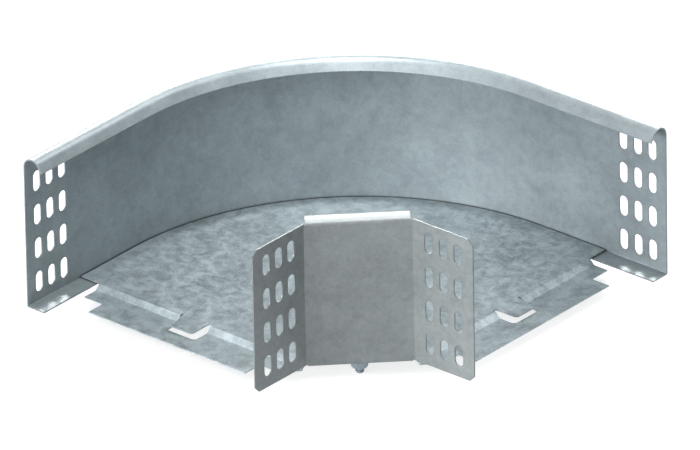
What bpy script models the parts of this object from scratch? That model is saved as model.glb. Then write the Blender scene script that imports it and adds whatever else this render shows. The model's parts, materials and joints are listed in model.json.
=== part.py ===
"""Ninety-degree cable tray bend, folded from galvanised sheet.

An outer side rail with a rolled top edge runs round the outside of the bend. A base plate lies on the
rail's bottom flange and carries a joggled connection lip at each open end. A folded corner plate closes
the inside of the bend, and a round-head bolt with a flange nut holds it to the base plate.

The origin is where the centre lines of the two tray runs cross, on the underside of the base plate.
One run leaves along +X and the other along -Y. The two halves mirror each other about the plane x = -y.
"""
import math

import bmesh
import bpy
from mathutils import Vector

MM = 0.001

# Sheet
SHEET = 1.0 * MM               # thickness of all three sheets
FOLD_RADIUS = 1.5 * MM         # outside radius of a right-angled fold
GAP = 0.3 * MM                 # between faces that lie on each other
EDGE_GAP = 0.5 * MM            # between a cut edge and the wall beside it

# Plan of the bend
TRAY_WIDTH = 200.5 * MM        # outside of the rail to outside of the wing
ARM_REACH = 202.5 * MM         # from the crossing of the centre lines to each open end
OUTER_RADIUS = 194.0 * MM      # outside of the rail round the bend
WING_LENGTH = 51.25 * MM       # from the wing's fold to the open end

# Outer side rail
RAIL_HEIGHT = 112.3 * MM       # underside of the flange to the top of the roll
FLANGE_DEPTH = 15.1 * MM
ROLL_RADIUS = 7.3 * MM         # outside radius of the rolled top edge
ROLL_SWEEP = math.radians(145)
ROLL_TAIL = 5.8 * MM           # straight part after the roll

# Connection slots, the same in the rail and in the wings
SLOT_WIDTH = 7.0 * MM
SLOT_HEIGHT = 15.0 * MM
SLOT_COLUMNS = 3
SLOT_PITCH = 12.5 * MM         # between columns
SLOT_RISE = 25.0 * MM          # between rows, of which there are as many as the wall's height holds
SLOT_MARGIN = 3.0 * MM         # least metal between the top row and the fold or roll above it
RAIL_SLOT_SETBACK = 12.0 * MM  # open end to the first column
RAIL_SLOT_HEIGHT = 15.0 * MM   # underside of the flange to the lowest row
WING_SLOT_SETBACK = 13.1 * MM
WING_SLOT_HEIGHT = 16.7 * MM

# Corner plate
WEB_HEIGHT = 105.8 * MM
WING_LIFT = 1.0 * MM           # lower edge of the wings above the underside of the web's fold
WING_RISE = 0.2 * MM           # upper edge of the wings above the web's upper fold
WING_CHAMFER = 4.0 * MM
WING_FOLD_RADIUS = 1.0 * MM    # front radius where a wing leaves the web
FOLD_RELIEF = 0.7 * MM         # notch between the end of a flange and the start of a wing's fold
TOP_FLANGE_DEPTH = 12.6 * MM
FOOT_FLANGE_DEPTH = 20.0 * MM

# Connection lips
LIP_START = 52.3 * MM          # open end to the upper break of the joggle
LIP_SETBACK = 22.2 * MM        # open end to the lip's free edge
LIP_STEP_SETBACK = 37.2 * MM   # open end to the shorter shoulders of the lip
LIP_DROP = 3.7 * MM            # the joggle goes down and out by this much
LIP_BEND = 0.8 * MM            # radius of the joggle's two bends
LIP_OUTER_INSET = 18.0 * MM    # outside of the rail to the end of the lip
LIP_OUTER_STEP = 16.4 * MM     # width of the shoulder beside the rail
LIP_INNER_INSET = 28.1 * MM    # outside of the wing to the full-depth part of the lip
LIP_TOE = 4.5 * MM             # depth of the lip beside the wing, out from the upper break
LIP_SLANT = 1.18               # run towards the rail for each unit out, where the toe's edge slants away

# Window in each lip, with a tongue that stays level with the base plate
WINDOW_OFFSET = -4.0 * MM      # its middle, from the tray's centre line towards the rail
WINDOW_LENGTH = 23.8 * MM
WINDOW_SETIN = 2.0 * MM        # the window's root lies this far inside the upper break of the joggle
WINDOW_DEPTH = 18.3 * MM       # from the window's root to its far edge
WINDOW_FLARE = 2.4 * MM        # extra length at the root, on the rail's side
WINDOW_ROUND = 3.0 * MM
TONGUE_GAP = 2.9 * MM          # window edge to tongue, seen from above
TONGUE_TIP_GAP = 0.3 * MM
TONGUE_ROOT_GAP = 0.7 * MM     # slit beside the root, on the rail's side

# Bolt and flange nut
BOLT_DIAMETER = 6.0 * MM
BOLT_LENGTH = 13.0 * MM        # under the head
BOLT_CHAMFER = 0.7 * MM
BOLT_HEAD_DIAMETER = 14.0 * MM
BOLT_HEAD_HEIGHT = 3.2 * MM
BOLT_SETBACK = 9.0 * MM        # front of the web to the bolt's axis
NUT_WIDTH = 10.0 * MM          # across the flats
NUT_HEIGHT = 6.0 * MM
NUT_FACE_DIAMETER = 9.5 * MM   # flat ring left under the turned-off corners
NUT_FLANGE_DIAMETER = 14.0 * MM
NUT_FLANGE_EDGE = 0.8 * MM
NUT_FLANGE_HEIGHT = 1.8 * MM   # where the flange's cone runs into the flats
NUT_NECK_DIAMETER = 9.0 * MM   # of the flange's cone at that height
NUT_BEVEL = math.radians(30)
TOOL_MARGIN = 1.0 * MM         # how far a cutter runs past the metal it cuts

# Facets
BEND_STEPS = 18                # from the end of a straight to the middle of the bend
ROLL_STEPS = 14
FOLD_STEPS = 4
SLOT_STEPS = 8                 # round half a slot

# Levels and lines that follow from the sizes
HALF = TRAY_WIDTH / 2
PLATE_TOP = SHEET
UNDERSIDE = -GAP - SHEET       # underside of the rail's flange and of the corner plate's foot
BEND_CENTRE = HALF - OUTER_RADIUS
WING_FOLD = ARM_REACH - WING_LENGTH
CORNER_CUT = WING_FOLD - HALF  # along each wing's line, from the sharp inner corner to the wing's fold
WEB_FRONT = (TRAY_WIDTH + CORNER_CUT) / math.sqrt(2)   # from the origin, square to the web
BOLT_OUT = WEB_FRONT - BOLT_SETBACK
HOLE_RADIUS = BOLT_DIAMETER / 2 + GAP
LIP_BREAK = ARM_REACH - LIP_START
OUT = Vector((1, -1, 0)).normalized()                  # from the origin to the middle of the web
ALONG = Vector((1, 1, 0)).normalized()                 # along the web towards the +X run


def clear_scene():
    for obj in list(bpy.data.objects):
        bpy.data.objects.remove(obj, do_unlink=True)


def make_collection(name):
    group = bpy.data.collections.new(name)
    bpy.context.scene.collection.children.link(group)
    return group


def make_material(name, colour, metallic, roughness):
    material = bpy.data.materials.new(name)
    material.use_nodes = True
    shader = material.node_tree.nodes["Principled BSDF"]
    shader.inputs["Base Color"].default_value = (*colour, 1.0)
    shader.inputs["Metallic"].default_value = metallic
    shader.inputs["Roughness"].default_value = roughness
    return material


def add_object(name, bm, group, material=None):
    mesh = bpy.data.meshes.new(name)
    bm.to_mesh(mesh)
    bm.free()
    obj = bpy.data.objects.new(name, mesh)
    if material:
        mesh.materials.append(material)
    group.objects.link(obj)
    return obj


def add_cutter(name, bm, group):
    bmesh.ops.recalc_face_normals(bm, faces=bm.faces)
    obj = add_object(name, bm, group)
    obj.hide_render = True
    obj.display_type = "WIRE"
    return obj


def round_corners(points, radii, steps):
    """Replaces each inner corner of a polyline by an arc of the given radius."""
    out = [Vector(points[0])]
    for before, corner, after, radius in zip(points, points[1:], points[2:], radii):
        corner = Vector(corner)
        to_before = (Vector(before) - corner).normalized()
        to_after = (Vector(after) - corner).normalized()
        half_angle = to_before.angle(to_after) / 2
        if radius <= 0 or half_angle > math.radians(89.9):
            out.append(corner)
            continue
        centre = corner + (to_before + to_after).normalized() * (radius / math.sin(half_angle))
        start = (corner + to_before * (radius / math.tan(half_angle)) - centre).normalized()
        end = (corner + to_after * (radius / math.tan(half_angle)) - centre).normalized()
        for k in range(steps + 1):
            out.append(centre + start.slerp(end, k / steps) * radius)
    out.append(Vector(points[-1]))
    return out


def wire(bm, points):
    verts = [bm.verts.new(p) for p in points]
    return [bm.edges.new(pair) for pair in zip(verts, verts[1:])]


def extrude_edges(bm, edges, offset):
    result = bmesh.ops.extrude_edge_only(bm, edges=edges)["geom"]
    moved = [item for item in result if isinstance(item, bmesh.types.BMVert)]
    bmesh.ops.translate(bm, verts=moved, vec=offset)
    return [item for item in result if isinstance(item, bmesh.types.BMEdge)]


def face_sheet(bm, outward):
    """Turns the sheet's drawn side to the given direction, judged on its largest face."""
    bmesh.ops.recalc_face_normals(bm, faces=bm.faces)
    largest = max(bm.faces, key=lambda face: face.calc_area())
    if largest.normal.dot(Vector(outward)) < 0:
        bmesh.ops.reverse_faces(bm, faces=bm.faces)


def mirror_across(obj, bisector):
    mirror = obj.modifiers.new("other run", "MIRROR")
    mirror.mirror_object = bisector
    mirror.merge_threshold = 0.0001
    return mirror


def thicken(obj):
    shell = obj.modifiers.new("sheet", "SOLIDIFY")
    shell.thickness = SHEET
    shell.offset = -1
    shell.use_even_offset = True
    shell.use_quality_normals = True


def combine(obj, tool, operation="DIFFERENCE", solver="EXACT"):
    cut = obj.modifiers.new(tool.name, "BOOLEAN")
    cut.object = tool
    cut.operation = operation
    cut.solver = solver


def settle(obj, angle=25):
    """Applies the modifiers, then shades the bends smooth and keeps the folds' edges crisp."""
    seen = obj.evaluated_get(bpy.context.evaluated_depsgraph_get())
    mesh = bpy.data.meshes.new_from_object(seen)
    obj.modifiers.clear()
    obj.data = mesh
    mesh.name = obj.name
    mesh.shade_smooth()
    mesh.set_sharp_from_angle(angle=math.radians(angle))


def prism(outline, bottom, top):
    """An upright prism on a plan outline."""
    bm = bmesh.new()
    base = bm.faces.new([bm.verts.new((p[0], p[1], bottom)) for p in outline])
    top_part = bmesh.ops.extrude_face_region(bm, geom=[base])["geom"]
    raised = [item for item in top_part if isinstance(item, bmesh.types.BMVert)]
    bmesh.ops.translate(bm, verts=raised, vec=(0, 0, top - bottom))
    bmesh.ops.recalc_face_normals(bm, faces=bm.faces)
    return bm


def slot_field(name, group, bisector, first, wall_top, depth):
    """Cutters for one run's slots, mirrored to the other run. first is the slot next to the open end,
    in the lowest row, and wall_top is where the wall's flat ends."""
    room = wall_top - SLOT_MARGIN - SLOT_HEIGHT / 2 - first[2]
    rows = 1 + math.floor(room / SLOT_RISE)
    bm = bmesh.new()
    reach = (SLOT_HEIGHT - SLOT_WIDTH) / 2
    outline = []
    for side in (1, -1):
        for k in range(SLOT_STEPS + 1):
            turn = math.pi * k / SLOT_STEPS
            x = side * math.cos(turn) * SLOT_WIDTH / 2
            z = side * (reach + math.sin(turn) * SLOT_WIDTH / 2)
            outline.append(bm.verts.new((x, -depth / 2, z)))
    face = bm.faces.new(outline)
    through = bmesh.ops.extrude_face_region(bm, geom=[face])["geom"]
    far = [item for item in through if isinstance(item, bmesh.types.BMVert)]
    bmesh.ops.translate(bm, verts=far, vec=(0, depth, 0))
    obj = add_cutter(name, bm, group)
    obj.location = first
    for label, count, step in (("columns", SLOT_COLUMNS, (-SLOT_PITCH, 0, 0)),
                               ("rows", rows, (0, 0, SLOT_RISE))):
        array = obj.modifiers.new(label, "ARRAY")
        array.use_relative_offset = False
        array.use_constant_offset = True
        array.constant_offset_displace = step
        array.count = count
    mirror_across(obj, bisector).use_mirror_merge = False
    return obj


def rail_profile():
    """Section of the rail's outer side, as (distance in from the outer face, height)."""
    top = UNDERSIDE + RAIL_HEIGHT - ROLL_RADIUS
    folded = round_corners([(FLANGE_DEPTH, UNDERSIDE, 0), (0, UNDERSIDE, 0), (0, top, 0)],
                           [FOLD_RADIUS], FOLD_STEPS)
    points = [(p.x, p.y) for p in folded]
    for k in range(1, ROLL_STEPS + 1):
        turn = ROLL_SWEEP * k / ROLL_STEPS
        points.append((ROLL_RADIUS * (1 - math.cos(turn)), top + ROLL_RADIUS * math.sin(turn)))
    points.append((points[-1][0] + ROLL_TAIL * math.sin(ROLL_SWEEP),
                   points[-1][1] + ROLL_TAIL * math.cos(ROLL_SWEEP)))
    return points


def build_rail(group, cutters, bisector, material):
    bm = bmesh.new()
    edges = wire(bm, [(ARM_REACH, HALF - inward, z) for inward, z in rail_profile()])
    edges = extrude_edges(bm, edges, (-BEND_CENTRE - ARM_REACH, 0, 0))
    bmesh.ops.spin(bm, geom=edges, cent=(-BEND_CENTRE, BEND_CENTRE, 0), axis=(0, 0, 1),
                   angle=math.radians(45), steps=BEND_STEPS)
    bmesh.ops.remove_doubles(bm, verts=bm.verts, dist=1e-6)
    face_sheet(bm, (0, 1, 0))
    rail = add_object("outer_rail", bm, group, material)
    mirror_across(rail, bisector)
    thicken(rail)
    slots = slot_field("rail_slots", cutters, bisector,
                       (ARM_REACH - RAIL_SLOT_SETBACK, HALF, UNDERSIDE + RAIL_SLOT_HEIGHT),
                       UNDERSIDE + RAIL_HEIGHT - ROLL_RADIUS, 8 * SHEET)
    combine(rail, slots)
    return rail


def build_base(group, cutters, bisector, material):
    plate_edge = HALF - SHEET - EDGE_GAP
    lip_end = HALF - LIP_OUTER_INSET
    web_corner = WEB_FRONT * math.sqrt(2) - LIP_BREAK
    bm = bmesh.new()
    outline = [OUT * WEB_FRONT, Vector((LIP_BREAK, -web_corner, 0)), Vector((LIP_BREAK, lip_end, 0)),
               Vector((LIP_BREAK, plate_edge, 0))]
    plate_radius = OUTER_RADIUS - SHEET - EDGE_GAP
    for k in range(BEND_STEPS + 1):
        turn = math.radians(90 + 45 * k / BEND_STEPS)
        outline.append(Vector((-BEND_CENTRE + plate_radius * math.cos(turn),
                               BEND_CENTRE + plate_radius * math.sin(turn), 0)))
    verts = [bm.verts.new((p.x, p.y, PLATE_TOP)) for p in outline]
    bm.faces.new(verts)
    lip_edge = [bm.edges.get((verts[1], verts[2]))]
    section = round_corners([(-LIP_DROP, 0, 0), (0, 0, 0), (LIP_DROP, 0, -LIP_DROP),
                             (LIP_START - LIP_SETBACK, 0, -LIP_DROP)], [LIP_BEND, LIP_BEND], FOLD_STEPS)
    start = section[1]
    bmesh.ops.translate(bm, verts=[verts[1], verts[2], verts[3]], vec=(start.x, 0, 0))
    for before, after in zip(section[1:], section[2:]):
        lip_edge = extrude_edges(bm, lip_edge, after - before)
    face_sheet(bm, (0, 0, 1))
    base = add_object("base_plate", bm, group, material)
    mirror_across(base, bisector)
    thicken(base)

    low = PLATE_TOP - LIP_DROP - 4 * SHEET
    high = PLATE_TOP + 4 * SHEET
    far = ARM_REACH + CORNER_CUT

    # Clearance round the corner plate, across the whole inside of the bend
    side = HALF - SHEET - EDGE_GAP
    corner = (WEB_FRONT - SHEET - EDGE_GAP) * math.sqrt(2) - side
    inside = prism([(far, -side), (corner, -side), (side, -corner), (side, -far), (far, -far)], low, high)
    combine(base, add_cutter("corner_clearance", inside, cutters), solver="MANIFOLD")

    # Shorter shoulders of the lip, beside the rail and beside the wing
    shoulder = ARM_REACH - LIP_STEP_SETBACK
    step = lip_end - LIP_OUTER_STEP
    outer = prism([(shoulder, step), (far, step), (far, HALF), (shoulder, HALF)], low, high)
    outer_cut = add_cutter("outer_shoulder", outer, cutters)
    toe = LIP_BREAK + LIP_TOE
    full = LIP_INNER_INSET - HALF
    slant = (shoulder - toe) * LIP_SLANT
    inner = prism([(toe, -side - CORNER_CUT), (far, -side - CORNER_CUT), (far, full), (shoulder, full),
                   (shoulder, -side + slant), (toe, -side)], low, high)
    inner_cut = add_cutter("inner_shoulder", inner, cutters)
    window_cut = add_cutter("lip_window", prism(window_outline(), low, high), cutters)
    for cut in (outer_cut, inner_cut, window_cut):
        mirror_across(cut, bisector).use_mirror_merge = False
        combine(base, cut, solver="MANIFOLD")

    tongue = add_cutter("tongue", prism(tongue_outline(), PLATE_TOP - SHEET, PLATE_TOP), cutters)
    mirror_across(tongue, bisector).use_mirror_merge = False
    combine(base, tongue, "UNION", "MANIFOLD")
    return base


def window_outline():
    """Plan of the window in the +X run's lip."""
    root = LIP_BREAK - WINDOW_SETIN
    far = root + WINDOW_DEPTH
    inner = WINDOW_OFFSET - WINDOW_LENGTH / 2
    outer = WINDOW_OFFSET + WINDOW_LENGTH / 2
    points = round_corners([(root, outer + WINDOW_FLARE, 0), (root, inner, 0), (far, inner, 0),
                            (far, outer, 0)], [0, WINDOW_ROUND], 6)
    return [(p.x, p.y) for p in points]


def tongue_outline():
    """Plan of the tongue, which runs on from the base plate into the window."""
    window = window_outline()
    root, outer_root = window[0]
    inner = window[1][1] + TONGUE_GAP
    far, outer = window[-1]
    points = round_corners([(root - WINDOW_DEPTH / 2, outer_root - TONGUE_ROOT_GAP, 0),
                            (root - WINDOW_DEPTH / 2, inner, 0),
                            (far - TONGUE_TIP_GAP, inner, 0),
                            (far - TONGUE_TIP_GAP, outer - TONGUE_GAP, 0),
                            (root, outer_root - TONGUE_ROOT_GAP, 0)], [0, WINDOW_ROUND, 0], 6)
    return [(p.x, p.y) for p in points]


def build_corner(group, cutters, bisector, material):
    fold_start = CORNER_CUT / math.sqrt(2) - WING_FOLD_RADIUS * math.tan(math.radians(22.5))
    top = UNDERSIDE + WEB_HEIGHT
    back = -OUT

    # Section through the web and its two flanges, drawn on the bend's middle plane
    corners = [OUT * WEB_FRONT + back * FOOT_FLANGE_DEPTH + Vector((0, 0, UNDERSIDE)),
               OUT * WEB_FRONT + Vector((0, 0, UNDERSIDE)),
               OUT * WEB_FRONT + Vector((0, 0, top)),
               OUT * WEB_FRONT + back * TOP_FLANGE_DEPTH + Vector((0, 0, top))]
    bm = bmesh.new()
    section = wire(bm, round_corners(corners, [FOLD_RADIUS, FOLD_RADIUS], FOLD_STEPS))
    section = extrude_edges(bm, section, ALONG * (fold_start - FOLD_RELIEF))

    # The web alone runs on across the relief, then takes the full height of the wing
    web_edge = [max(section, key=lambda edge: edge.calc_length())]
    web_edge = extrude_edges(bm, web_edge, ALONG * FOLD_RELIEF)
    low, high = sorted(web_edge[0].verts, key=lambda vert: vert.co.z)
    foot = bm.verts.new((low.co.x, low.co.y, UNDERSIDE + WING_LIFT))
    head = bm.verts.new((high.co.x, high.co.y, top + WING_RISE))
    column = [bm.edges.new((foot, low)), web_edge[0], bm.edges.new((high, head))]

    # Plan of the wing: round its fold and out to the open end
    plan = round_corners([OUT * WEB_FRONT, (WING_FOLD, -HALF, 0), (ARM_REACH, -HALF, 0)],
                         [WING_FOLD_RADIUS], FOLD_STEPS)
    chamfer = Vector((WING_CHAMFER, 0, 0))
    plan[-1] -= chamfer
    for before, after in zip(plan[1:], plan[2:]):
        column = extrude_edges(bm, column, after - before)

    # The last bit of the wing narrows at its two corners
    column = extrude_edges(bm, column, chamfer)
    for vert in {vert for edge in column for vert in edge.verts}:
        vert.co.z += WING_CHAMFER if vert.co.z < WEB_HEIGHT / 2 else -WING_CHAMFER
    face_sheet(bm, (0, -1, 0))
    plate = add_object("corner_plate", bm, group, material)
    mirror_across(plate, bisector)
    thicken(plate)
    slots = slot_field("wing_slots", cutters, bisector,
                       (ARM_REACH - WING_SLOT_SETBACK, -HALF, UNDERSIDE + WING_SLOT_HEIGHT),
                       top - FOLD_RADIUS, 8 * SHEET)
    combine(plate, slots)
    return plate


def drill_bolt_hole(sheets, cutters):
    bm = bmesh.new()
    bmesh.ops.create_cone(bm, cap_ends=True, segments=32, radius1=HOLE_RADIUS, radius2=HOLE_RADIUS,
                          depth=10 * SHEET)
    drill = add_cutter("bolt_hole", bm, cutters)
    drill.location = OUT * BOLT_OUT
    for sheet in sheets:
        combine(sheet, drill, solver="MANIFOLD")


def turned(name, profile, group, steps=32, material=None):
    """A solid of revolution about Z, from a profile that runs from the top of the axis to the bottom."""
    bm = bmesh.new()
    wire(bm, [(r, 0, z) for r, z in profile])
    obj = add_object(name, bm, group, material)
    screw = obj.modifiers.new("turn", "SCREW")
    screw.steps = steps
    screw.render_steps = steps
    screw.use_merge_vertices = True
    screw.merge_threshold = 0.00001
    return obj


def build_bolt(group, material):
    shank = BOLT_DIAMETER / 2
    rim = BOLT_HEAD_DIAMETER / 2
    sphere = (rim ** 2 + BOLT_HEAD_HEIGHT ** 2) / (2 * BOLT_HEAD_HEIGHT)
    sweep = math.asin(rim / sphere)
    profile = []
    for k in range(9):
        turn = sweep * k / 8
        profile.append((sphere * math.sin(turn), BOLT_HEAD_HEIGHT - sphere * (1 - math.cos(turn))))
    profile += [(shank, 0), (shank, BOLT_CHAMFER - BOLT_LENGTH), (shank - BOLT_CHAMFER, -BOLT_LENGTH),
                (0, -BOLT_LENGTH)]
    bolt = turned("corner_bolt", profile, group, material=material)
    bolt.location = OUT * BOLT_OUT + Vector((0, 0, PLATE_TOP + GAP))
    return bolt


def build_nut(group, cutters, material):
    """A hexagon with its lower corners turned off, on a round flange, bored for the bolt."""
    corner = NUT_WIDTH / math.sqrt(3)
    bm = bmesh.new()
    bmesh.ops.create_cone(bm, cap_ends=True, segments=6, radius1=corner, radius2=corner, depth=NUT_HEIGHT)
    bmesh.ops.translate(bm, verts=bm.verts, vec=(0, 0, -NUT_HEIGHT / 2))
    nut = add_object("corner_nut", bm, group, material)
    nut.location = OUT * BOLT_OUT + Vector((0, 0, UNDERSIDE - GAP))
    nut.rotation_euler.z = math.radians(-45)

    face = NUT_FACE_DIAMETER / 2
    outside = corner + TOOL_MARGIN
    rise = (outside - face) * math.tan(NUT_BEVEL)
    envelope = turned("nut_envelope", [(0, TOOL_MARGIN), (outside, TOOL_MARGIN), (outside, rise - NUT_HEIGHT),
                                       (face, -NUT_HEIGHT), (0, -NUT_HEIGHT)], cutters)
    rim = NUT_FLANGE_DIAMETER / 2
    flange = turned("nut_flange", [(0, 0), (rim, 0), (rim, -NUT_FLANGE_EDGE),
                                   (NUT_NECK_DIAMETER / 2, -NUT_FLANGE_HEIGHT),
                                   (0, -NUT_FLANGE_HEIGHT)], cutters)
    bore = turned("nut_bore", [(0, TOOL_MARGIN), (HOLE_RADIUS, TOOL_MARGIN),
                               (HOLE_RADIUS, -NUT_HEIGHT - TOOL_MARGIN), (0, -NUT_HEIGHT - TOOL_MARGIN)],
                  cutters)
    for tool, operation in ((envelope, "INTERSECT"), (flange, "UNION"), (bore, "DIFFERENCE")):
        tool.location = nut.location
        tool.hide_render = True
        tool.display_type = "WIRE"
        combine(nut, tool, operation)
    return nut


def main():
    clear_scene()
    parts = make_collection("cable_tray_bend")
    cutters = make_collection("cutters")

    root = bpy.data.objects.new("tray_bend_origin", None)
    bisector = bpy.data.objects.new("bend_bisector", None)
    bisector.rotation_euler.z = math.radians(45)
    for guide in (root, bisector):
        guide.hide_render = True
        guide.empty_display_size = 0.02
    parts.objects.link(root)
    cutters.objects.link(bisector)

    galvanised = (0.42, 0.47, 0.49)
    rail = build_rail(parts, cutters, bisector, make_material("galvanised rail", galvanised, 0.9, 0.42))
    base = build_base(parts, cutters, bisector, make_material("galvanised base", galvanised, 0.9, 0.48))
    corner = build_corner(parts, cutters, bisector,
                          make_material("galvanised corner", (0.38, 0.41, 0.42), 0.9, 0.45))
    drill_bolt_hole((base, corner), cutters)
    bolt = build_bolt(parts, make_material("zinc bolt", (0.55, 0.60, 0.66), 1.0, 0.35))
    nut = build_nut(parts, cutters, make_material("zinc nut", (0.52, 0.57, 0.63), 1.0, 0.38))

    bpy.context.view_layer.update()
    for obj in (rail, base, corner, bolt, nut):
        settle(obj)
        obj.parent = root


main()
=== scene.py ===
"""Looks of the cable tray bend: galvanised finishes, zinc fixings, studio and camera."""
import json
import math

import bmesh
import bpy
from mathutils import Matrix, Vector

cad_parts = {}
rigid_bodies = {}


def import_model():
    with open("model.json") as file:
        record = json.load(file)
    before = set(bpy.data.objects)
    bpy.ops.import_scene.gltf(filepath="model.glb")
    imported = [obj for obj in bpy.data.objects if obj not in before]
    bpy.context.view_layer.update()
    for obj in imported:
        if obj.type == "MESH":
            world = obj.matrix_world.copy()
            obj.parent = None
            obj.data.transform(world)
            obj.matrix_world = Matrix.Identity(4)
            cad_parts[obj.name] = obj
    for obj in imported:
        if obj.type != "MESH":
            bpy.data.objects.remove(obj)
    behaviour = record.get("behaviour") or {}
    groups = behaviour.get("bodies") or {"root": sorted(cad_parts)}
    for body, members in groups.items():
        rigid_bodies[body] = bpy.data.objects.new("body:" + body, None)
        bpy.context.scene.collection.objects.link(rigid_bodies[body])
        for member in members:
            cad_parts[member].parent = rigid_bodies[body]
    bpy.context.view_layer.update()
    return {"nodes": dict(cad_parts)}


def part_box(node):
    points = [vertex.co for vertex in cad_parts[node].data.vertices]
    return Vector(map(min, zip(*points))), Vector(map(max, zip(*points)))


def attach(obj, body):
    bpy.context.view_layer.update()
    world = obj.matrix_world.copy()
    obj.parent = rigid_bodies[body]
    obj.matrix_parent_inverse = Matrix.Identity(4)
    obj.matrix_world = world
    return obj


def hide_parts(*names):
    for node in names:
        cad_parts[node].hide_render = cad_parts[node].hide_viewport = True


MM = 0.001

# Camera, fitted to the photograph: the optical axis passes through CAMERA_AIM
CAMERA_AZIMUTH = math.radians(40.848)
CAMERA_ELEVATION = math.radians(27.338)
CAMERA_ROLL = math.radians(-0.990)
CAMERA_DISTANCE = 10.6045
CAMERA_LENS = 826.0
CAMERA_SENSOR = 36
CAMERA_CLIP = (1.0, 40.0)
CAMERA_AIM = Vector((0.09399, -0.09733, 0.08047))

# Softboxes: name, azimuth and elevation in degrees, width and height in metres, watts
LAMP_DISTANCE = 2.4
LAMP_AIM = Vector((0.04, -0.04, 0.05))
SOFTBOXES = (
    ("low key from the left", -22, 4, (1.4, 0.3), 28),
    ("low fill from the front", 2, 4, (1.4, 0.3), 22),
    ("softbox over the camera", 8, 40, (1.4, 1.4), 14),
    ("high softbox", 45, 68, (0.8, 0.5), 13),
    ("overhead strip", 45, 90, (0.45, 2.0), 4),
    ("softbox behind", 165, 50, (1.0, 0.8), 20),
    ("softbox at the left", 268, 50, (1.0, 0.8), 6),
    ("low strip behind", 221, 25, (1.2, 0.3), 46),
)

# Soft spots: name, azimuth and elevation in degrees, target, half width of the cone at the target, watts
SPOT_BLEND = 0.7
SPOT_SOURCE = 0.12
SPOTS = (
    ("soft spot over the bend", 45, 86, (-0.045, 0.035, 0.05), 0.14, 270),
    ("soft spot on the far floor", 45, 52, (-0.020, 0.020, 0.01), 0.085, 110),
    ("soft spot on the right lip", 117, 35, (0.190, 0.005, -0.005), 0.09, 135),
    ("soft spot on the left lip", -44, 36, (-0.010, -0.188, -0.005), 0.09, 80),
    ("soft spot on the right wing", -24, 9, (0.190, -0.100, 0.050), 0.085, 210),
)

# Studio
WORLD_TINT = (0.93, 0.97, 1.0, 1)
WORLD_STRENGTH = 0.1
WHITE = (1, 1, 1, 1)
FLOOR_LEVEL = -12.0 * MM
FLOOR_SIZE = 6.0
FLOOR_COLOUR = (0.45, 0.455, 0.46, 1)
FLOOR_ROUGHNESS = 0.9
FLOOR_GLOW = 0.75

# Finishes
GRAIN_SCALE = 900.0
GRAIN_SHARE = 0.25
# Painted shade: dark strips beside cut edges and in seams, where shade falls
EDGE_REACH = 0.8 * MM
EDGE_TURN = (0.99, 0.84)        # cosine of the surface's turn, from no dark line to a full one
EDGE_BREAK_SCALE = 260.0
EDGE_FAINTEST = 0.45
SEAM_REACH = 2.0 * MM
SEAM_OPENNESS = (0.8, 0.5)      # share of the view that is free, from no dark line to a full one
RELIEF_HEIGHT = 0.5 * MM

# Rounds on the cut edges of the sheets and the nut
EDGE_ROUND = 0.1 * MM
BASE_EDGE_ROUND = 0.3 * MM
NUT_EDGE_ROUND = 0.15 * MM
MERGE_DISTANCE = 1e-6
FLAT_ANGLE = 0.2
CUT_ANGLE = 60
NUT_EDGE_ANGLE = 24
SLIVER_LENGTH = 0.06 * MM
SLIVER_ANGLE = 150

# Bolt: an M6 coarse thread under a domed head
HEAD_HEIGHT = 3.2 * MM
RIM_ROUND = 0.25 * MM
# In from the rim and up from the seat
RIM_PROFILE = ((0.1 * MM, 0.35 * MM), (0.05 * MM, 0.15 * MM), (0.2 * MM, 0.0))
NECK_LENGTH = 1.5 * MM
THREAD_MAJOR = 5.9 * MM
THREAD_MINOR = 4.82 * MM
THREAD_PITCH = 1.0 * MM
THREAD_STEPS = 24
THREAD_OVERLAP = 0.05 * MM
TIP_CHAMFER = 0.3 * MM
DOME_STEPS = 12
HEAD_STEPS = 40
BOLT_SHARP_ANGLE = 35


def clear_default_scene():
    for obj in list(bpy.data.objects):
        if obj.name in ("Cube", "Light", "Camera"):
            bpy.data.objects.remove(obj, do_unlink=True)


def add_object(name, data):
    obj = bpy.data.objects.new(name, data)
    bpy.context.scene.collection.objects.link(obj)
    return obj


def add_node(tree, kind, inputs=None, **settings):
    """A new node with its settings made and each input linked to a socket or set to a constant."""
    node = tree.nodes.new(kind)
    for name, value in settings.items():
        setattr(node, name, value)
    for name, value in (inputs or {}).items():
        if isinstance(value, bpy.types.NodeSocket):
            tree.links.new(value, node.inputs[name])
        else:
            node.inputs[name].default_value = value
    return node


def standing_at(azimuth, elevation, distance, target, roll=0.0):
    """Matrix of a camera or a lamp that looks at its target from the given angles."""
    back = Vector((math.sin(azimuth) * math.cos(elevation), -math.cos(azimuth) * math.cos(elevation),
                   math.sin(elevation)))
    right = Vector((math.cos(azimuth), math.sin(azimuth), 0))
    up = back.cross(right)
    rolled_right = right * math.cos(roll) + up * math.sin(roll)
    rolled_up = up * math.cos(roll) - right * math.sin(roll)
    matrix = Matrix((rolled_right, rolled_up, back)).transposed().to_4x4()
    matrix.translation = target + back * distance
    return matrix


def make_camera():
    data = bpy.data.cameras.new("studio camera")
    data.lens = CAMERA_LENS
    data.sensor_width = CAMERA_SENSOR
    data.clip_start, data.clip_end = CAMERA_CLIP
    camera = add_object("studio_camera", data)
    camera.matrix_world = standing_at(CAMERA_AZIMUTH, CAMERA_ELEVATION, CAMERA_DISTANCE, CAMERA_AIM,
                                      CAMERA_ROLL)
    bpy.context.scene.camera = camera


def make_softbox(name, azimuth, elevation, size, power):
    data = bpy.data.lights.new(name, "AREA")
    data.shape = "RECTANGLE"
    data.size, data.size_y = size
    data.energy = power
    lamp = add_object(name, data)
    lamp.matrix_world = standing_at(math.radians(azimuth), math.radians(elevation), LAMP_DISTANCE, LAMP_AIM)
    lamp.visible_camera = False


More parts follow.
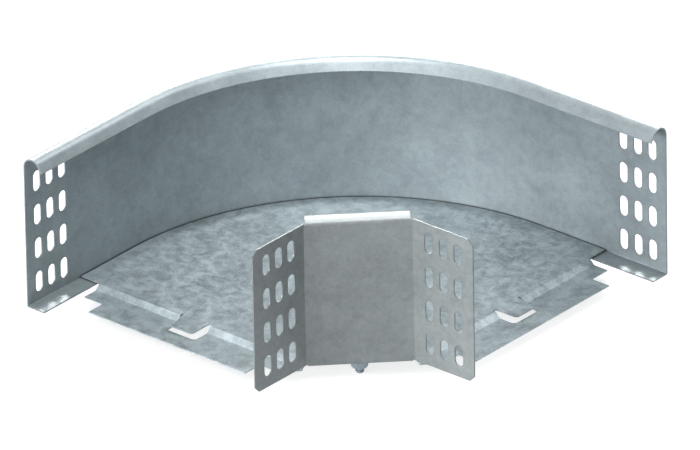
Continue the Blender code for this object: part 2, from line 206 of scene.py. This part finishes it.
def make_spot(name, azimuth, elevation, target, reach, power):
    """A narrow, soft-edged spot whose cone is reach wide, to each side, at its target."""
    data = bpy.data.lights.new(name, "SPOT")
    data.energy = power
    data.spot_size = 2 * math.atan(reach / LAMP_DISTANCE)
    data.spot_blend = SPOT_BLEND
    data.shadow_soft_size = SPOT_SOURCE
    lamp = add_object(name, data)
    lamp.matrix_world = standing_at(math.radians(azimuth), math.radians(elevation), LAMP_DISTANCE,
                                    Vector(target))


def background_rays(tree):
    """1 for the rays that should see the white background, 0 for the rest."""
    path = add_node(tree, "ShaderNodeLightPath").outputs
    seen = path["Is Camera Ray"]
    for ray in ("Is Glossy Ray", "Is Transmission Ray"):
        seen = add_node(tree, "ShaderNodeMath", {0: seen, 1: path[ray]}, operation="MAXIMUM").outputs[0]
    return seen


def make_world():
    world = bpy.data.worlds.new("plain studio")
    bpy.context.scene.world = world
    world.use_nodes = True
    tree = world.node_tree
    tree.nodes.clear()
    soft = add_node(tree, "ShaderNodeBackground", {"Color": WORLD_TINT, "Strength": WORLD_STRENGTH})
    white = add_node(tree, "ShaderNodeBackground", {"Color": WHITE, "Strength": 1.0})
    mix = add_node(tree, "ShaderNodeMixShader",
                   {"Fac": background_rays(tree), 1: soft.outputs[0], 2: white.outputs[0]})
    add_node(tree, "ShaderNodeOutputWorld", {"Surface": mix.outputs[0]})


def make_floor():
    bm = bmesh.new()
    bmesh.ops.create_grid(bm, x_segments=1, y_segments=1, size=FLOOR_SIZE)
    bmesh.ops.translate(bm, verts=bm.verts, vec=(0, 0, FLOOR_LEVEL))
    mesh = bpy.data.meshes.new("studio_floor")
    bm.to_mesh(mesh)
    bm.free()
    floor = add_object("studio_floor", mesh)
    material = bpy.data.materials.new("pale floor")
    material.use_nodes = True
    tree = material.node_tree
    shader = tree.nodes["Principled BSDF"].inputs
    shader["Base Color"].default_value = FLOOR_COLOUR
    shader["Roughness"].default_value = FLOOR_ROUGHNESS
    shader["Emission Color"].default_value = WHITE
    glow = add_node(tree, "ShaderNodeMath", {0: background_rays(tree), 1: FLOOR_GLOW}, operation="MULTIPLY")
    tree.links.new(glow.outputs[0], shader["Emission Strength"])
    mesh.materials.append(material)


def zinc_clouds():
    """Cloudy bloom of hot-dip zinc: broad clouds, small blotches and a fine grain, as one factor."""
    tree = bpy.data.node_groups.new("zinc clouds", "ShaderNodeTree")
    tree.interface.new_socket("Vector", in_out="INPUT", socket_type="NodeSocketVector")
    for name in ("Cloud Scale", "Blotch Scale", "Blotch Share", "Contrast", "Swirl"):
        tree.interface.new_socket(name, in_out="INPUT", socket_type="NodeSocketFloat")
    for name in ("Tone", "Relief"):
        tree.interface.new_socket(name, in_out="OUTPUT", socket_type="NodeSocketFloat")
    given = add_node(tree, "NodeGroupInput").outputs
    broad = add_node(tree, "ShaderNodeTexNoise",
                     {"Vector": given["Vector"], "Scale": given["Cloud Scale"], "Detail": 3.0,
                      "Roughness": 0.55, "Distortion": given["Swirl"]})
    blotch = add_node(tree, "ShaderNodeTexNoise",
                      {"Vector": given["Vector"], "Scale": given["Blotch Scale"], "Detail": 4.0,
                       "Roughness": 0.6, "Distortion": given["Swirl"]})
    grain = add_node(tree, "ShaderNodeTexNoise",
                     {"Vector": given["Vector"], "Scale": GRAIN_SCALE, "Detail": 2.0})
    blend = add_node(tree, "ShaderNodeMix",
                     {"Factor": given["Blotch Share"], "A": broad.outputs["Fac"], "B": blotch.outputs["Fac"]})
    fine = add_node(tree, "ShaderNodeMix",
                    {"Factor": GRAIN_SHARE, "A": blend.outputs["Result"], "B": grain.outputs["Fac"]})
    centred = add_node(tree, "ShaderNodeMath", {0: fine.outputs["Result"], 1: 0.5}, operation="SUBTRACT")
    spread = add_node(tree, "ShaderNodeMath", {0: centred.outputs[0], 1: given["Contrast"], 2: 0.5},
                      operation="MULTIPLY_ADD", use_clamp=True)
    add_node(tree, "NodeGroupOutput", {"Tone": spread.outputs[0], "Relief": fine.outputs["Result"]})
    return tree


def painted_edge_and_seam_shade():
    """Mask of painted shade: dark strips beside cut edges and in seams, where shade falls."""
    tree = bpy.data.node_groups.new("cut edges", "ShaderNodeTree")
    tree.interface.new_socket("Vector", in_out="INPUT", socket_type="NodeSocketVector")
    tree.interface.new_socket("Mask", in_out="OUTPUT", socket_type="NodeSocketFloat")
    given = add_node(tree, "NodeGroupInput").outputs
    # Painted shade along edges: strips where the surface turns near an edge
    rounded = add_node(tree, "ShaderNodeBevel", {"Radius": EDGE_REACH}, samples=6)
    surface = add_node(tree, "ShaderNodeNewGeometry")
    turned = add_node(tree, "ShaderNodeVectorMath",
                      {0: rounded.outputs["Normal"], 1: surface.outputs["Normal"]}, operation="DOT_PRODUCT")
    strip = add_node(tree, "ShaderNodeMapRange",
                     {"From Min": EDGE_TURN[0], "From Max": EDGE_TURN[1], "Value": turned.outputs["Value"]})
    broken = add_node(tree, "ShaderNodeTexNoise", {"Scale": EDGE_BREAK_SCALE, "Vector": given["Vector"]})
    share = add_node(tree, "ShaderNodeMapRange",
                     {"From Min": 0.3, "From Max": 0.6, "To Min": EDGE_FAINTEST,
                      "Value": broken.outputs["Fac"]})
    edge = add_node(tree, "ShaderNodeMath", {0: strip.outputs["Result"], 1: share.outputs["Result"]},
                    operation="MULTIPLY")
    # Painted shade in seams: ambient occlusion darkens the colour where the view is closed
    hidden = add_node(tree, "ShaderNodeAmbientOcclusion", {"Distance": SEAM_REACH}, samples=6)
    painted_seam_shade = add_node(tree, "ShaderNodeMapRange",
                    {"From Min": SEAM_OPENNESS[0], "From Max": SEAM_OPENNESS[1],
                     "Value": hidden.outputs["AO"]})
    both = add_node(tree, "ShaderNodeMath", {0: edge.outputs[0], 1: painted_seam_shade.outputs["Result"]},
                    operation="MAXIMUM")
    add_node(tree, "NodeGroupOutput", {"Mask": both.outputs[0]})
    return tree


def zinc_finish(name, clouds, painted_shade_group, dark, light, metallic, roughness, cloud_scale=28.0, blotch_scale=120.0,
                blotch_share=0.5, contrast=3.0, swirl=0.6, relief=0.15, painted_shade_tone=0.2):
    """Zinc between a dark and a light tone; its painted shade along edges and in seams is the dark tone times
    the shade's tone factor.
    """
    material = bpy.data.materials.new(name)
    material.use_nodes = True
    tree = material.node_tree
    shader = tree.nodes["Principled BSDF"].inputs
    shader["Metallic"].default_value = metallic

    where = add_node(tree, "ShaderNodeTexCoord").outputs["Object"]
    bloom = add_node(tree, "ShaderNodeGroup", node_tree=clouds)
    for socket, value in (("Cloud Scale", cloud_scale), ("Blotch Scale", blotch_scale),
                          ("Blotch Share", blotch_share), ("Contrast", contrast), ("Swirl", swirl)):
        bloom.inputs[socket].default_value = value
    tree.links.new(where, bloom.inputs["Vector"])
    painted_shade_node = add_node(tree, "ShaderNodeGroup", node_tree=painted_shade_group)
    tree.links.new(where, painted_shade_node.inputs["Vector"])

    colour = add_node(tree, "ShaderNodeMix",
                      {"A": (*dark, 1), "B": (*light, 1), "Factor": bloom.outputs["Tone"]}, data_type="RGBA")
    # Painted shade: the colour darkens where the mask finds edges and seams
    line = tuple(painted_shade_tone * channel for channel in dark)
    colour_with_painted_shade = add_node(tree, "ShaderNodeMix",
                     {"A": colour.outputs["Result"], "B": (*line, 1), "Factor": painted_shade_node.outputs["Mask"]},
                     data_type="RGBA")
    tree.links.new(colour_with_painted_shade.outputs["Result"], shader["Base Color"])
    rough = add_node(tree, "ShaderNodeMapRange",
                     {"To Min": roughness[0], "To Max": roughness[1], "Value": bloom.outputs["Tone"]})
    tree.links.new(rough.outputs["Result"], shader["Roughness"])
    bump = add_node(tree, "ShaderNodeBump",
                    {"Strength": relief, "Distance": RELIEF_HEIGHT, "Height": bloom.outputs["Relief"]})
    tree.links.new(bump.outputs["Normal"], shader["Normal"])
    return material


def finish_piece(name, bm, node, material, sharp=20):
    """Turns a mesh into the piece that stands for a CAD node."""
    bmesh.ops.recalc_face_normals(bm, faces=bm.faces)
    mesh = bpy.data.meshes.new(name)
    bm.to_mesh(mesh)
    bm.free()
    mesh.materials.append(material)
    mesh.shade_smooth()
    mesh.set_sharp_from_angle(angle=math.radians(sharp))
    piece = add_object(name, mesh)
    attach(piece, "root")
    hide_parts(node)


def softened(node, material, width, from_angle=CUT_ANGLE):
    """The node's own shape, its cut edges broken by a small round that stops short of slivers."""
    bm = bmesh.new()
    bm.from_mesh(frame["nodes"][node].data)
    bmesh.ops.remove_doubles(bm, verts=bm.verts, dist=MERGE_DISTANCE)
    bmesh.ops.dissolve_limit(bm, angle_limit=math.radians(FLAT_ANGLE), verts=bm.verts, edges=bm.edges,
                             use_dissolve_boundaries=False)
    slivers = set()
    for edge in bm.edges:
        if edge.calc_length() < SLIVER_LENGTH or edge.calc_face_angle(0) > math.radians(SLIVER_ANGLE):
            slivers.update(edge.verts)
    edges = [edge for edge in bm.edges
             if edge.calc_face_angle(0) > math.radians(from_angle) and not slivers.intersection(edge.verts)]
    bmesh.ops.bevel(bm, geom=edges, offset=width, offset_type="OFFSET", affect="EDGES", segments=2,
                    profile=0.5, material=-1, clamp_overlap=False)
    finish_piece(node + "_finished", bm, node, material)


def spun(profile, **turn):
    """A mesh made by turning a line of (radius, height) points about Z."""
    bm = bmesh.new()
    verts = [bm.verts.new((radius, 0, height)) for radius, height in profile]
    edges = [bm.edges.new(pair) for pair in zip(verts, verts[1:])]
    bmesh.ops.spin(bm, geom=verts + edges, cent=(0, 0, 0), axis=(0, 0, 1), **turn)
    bmesh.ops.remove_doubles(bm, verts=bm.verts, dist=MERGE_DISTANCE)
    return bm


def helical_thread(top, bottom):
    """A closed length of thread about Z, cut square at its top and chamfered at its tip."""
    crest, root = THREAD_MAJOR / 2, THREAD_MINOR / 2
    start = top + THREAD_PITCH
    turns = math.ceil((start - bottom) / THREAD_PITCH) + 1
    # One tooth, from its upper root to its lower root, in shares of the pitch
    tooth = ((root, 0), (root, 0.25), (crest, 0.5625), (crest, 0.6875), (root, 1))
    bm = spun([(radius, start - share * THREAD_PITCH) for radius, share in tooth],
              dvec=(0, 0, -THREAD_PITCH / THREAD_STEPS), angle=2 * math.pi * turns,
              steps=THREAD_STEPS * turns, use_merge=False)
    for level, side in ((top, 1), (bottom, -1)):
        bmesh.ops.bisect_plane(bm, geom=bm.verts[:] + bm.edges[:] + bm.faces[:], plane_co=(0, 0, level),
                               plane_no=(0, 0, side), clear_outer=True)
    for vert in bm.verts:
        radius = math.hypot(vert.co.x, vert.co.y)
        limit = root - TIP_CHAMFER + (vert.co.z - bottom)
        if radius > limit:
            vert.co.x *= limit / radius
            vert.co.y *= limit / radius
    rims = [edge for edge in bm.edges if len(edge.link_faces) == 1]
    bmesh.ops.holes_fill(bm, edges=rims, sides=0)
    bmesh.ops.recalc_face_normals(bm, faces=bm.faces)
    return bm


def make_bolt(material):
    """Domed head with a rounded rim, a plain neck, and the thread down to its tip."""
    low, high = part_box("corner_bolt")
    seat = high[2] - HEAD_HEIGHT
    rim = (high[0] - low[0]) / 2
    dome = (rim ** 2 + HEAD_HEIGHT ** 2) / (2 * HEAD_HEIGHT)
    sweep = math.asin((rim - RIM_ROUND) / dome)
    profile = []
    for step in range(DOME_STEPS + 1):
        turn = sweep * step / DOME_STEPS
        profile.append((dome * math.sin(turn), high[2] - dome * (1 - math.cos(turn))))
    profile += [(rim - inward, seat + upward) for inward, upward in RIM_PROFILE]
    profile += [(THREAD_MAJOR / 2, seat), (THREAD_MAJOR / 2, seat - NECK_LENGTH), (0, seat - NECK_LENGTH)]
    bm = spun(profile, angle=2 * math.pi, steps=HEAD_STEPS, use_merge=True)
    thread = helical_thread(seat - NECK_LENGTH + THREAD_OVERLAP, low[2])
    spare = bpy.data.meshes.new("thread")
    thread.to_mesh(spare)
    thread.free()
    bm.from_mesh(spare)
    bpy.data.meshes.remove(spare)
    bmesh.ops.translate(bm, verts=bm.verts, vec=((low[0] + high[0]) / 2, (low[1] + high[1]) / 2, 0))
    finish_piece("corner_bolt_threaded", bm, "corner_bolt", material, sharp=BOLT_SHARP_ANGLE)


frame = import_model()
clear_default_scene()

bpy.context.scene.view_settings.view_transform = "Standard"
make_camera()
make_world()
make_floor()
for softbox in SOFTBOXES:
    make_softbox(*softbox)
for spot in SPOTS:
    make_spot(*spot)

painted_shade_group = painted_edge_and_seam_shade()
clouds = zinc_clouds()
rail_zinc = zinc_finish(
    "galvanised rail", clouds, painted_shade_group, dark=(0.215, 0.252, 0.268), light=(0.305, 0.353, 0.373), metallic=0.38,
    roughness=(0.36, 0.46), cloud_scale=38, blotch_scale=170, contrast=4.0, relief=0.12)
softened("outer_rail", rail_zinc, EDGE_ROUND)
base_zinc = zinc_finish(
    "galvanised base", clouds, painted_shade_group, dark=(0.242, 0.29, 0.308), light=(0.42, 0.487, 0.511), metallic=0.5,
    roughness=(0.42, 0.54), blotch_scale=140, blotch_share=0.7, contrast=5.2, swirl=0.5, relief=0.2)
softened("base_plate", base_zinc, BASE_EDGE_ROUND)
# The corner plate's tones sit below the rail's; that difference is painted shade
corner_zinc = zinc_finish(
    "galvanised corner", clouds, painted_shade_group, dark=(0.178, 0.2, 0.206), light=(0.242, 0.27, 0.274), metallic=0.38,
    roughness=(0.38, 0.48), blotch_scale=190, blotch_share=0.6, contrast=4.5, relief=0.1)
softened("corner_plate", corner_zinc, EDGE_ROUND)
bolt_zinc = zinc_finish(
    "zinc bolt", clouds, painted_shade_group, dark=(0.34, 0.40, 0.445), light=(0.45, 0.52, 0.57), metallic=0.45,
    roughness=(0.32, 0.42), contrast=1.5, painted_shade_tone=0.8)
make_bolt(bolt_zinc)
nut_zinc = zinc_finish(
    "zinc nut", clouds, painted_shade_group, dark=(0.22, 0.27, 0.305), light=(0.30, 0.36, 0.40), metallic=0.6,
    roughness=(0.32, 0.42), contrast=1.5, painted_shade_tone=0.7)
softened("corner_nut", nut_zinc, NUT_EDGE_ROUND, from_angle=NUT_EDGE_ANGLE)
